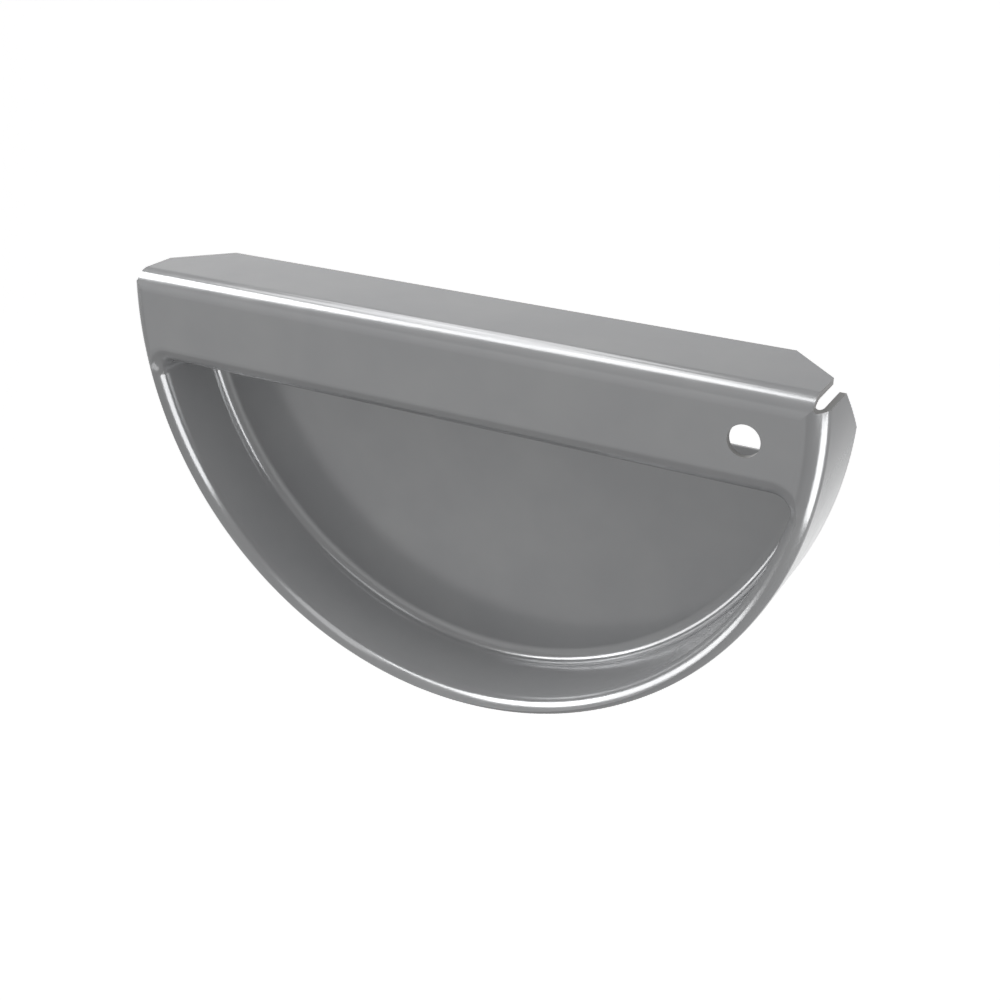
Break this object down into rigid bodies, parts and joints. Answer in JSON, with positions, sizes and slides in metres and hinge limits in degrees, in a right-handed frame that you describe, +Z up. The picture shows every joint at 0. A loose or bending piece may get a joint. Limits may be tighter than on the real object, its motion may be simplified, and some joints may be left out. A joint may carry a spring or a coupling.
{
  "type": "gutter end cap",
  "caption": "End cap for a half-round roof gutter: pressed sheet panel with a deep D-shaped recess, flanges folded back, slanted corners and a fixing hole.",
  "frame": {"origin": "centre of the gutter's half circle, on the back face of the panel", "axes": "+X to the right seen from outside, +Y into the gutter along its length, +Z up"},
  "size_m": [0.125, 0.0175, 0.0696],
  "materials": {
    "galvanised_sheet": "satin, smooth zinc-coated sheet with bright bends"
  },
  "bodies": {
    "root": {"end_cap": "galvanised_sheet"}
  },
  "joints": []
}
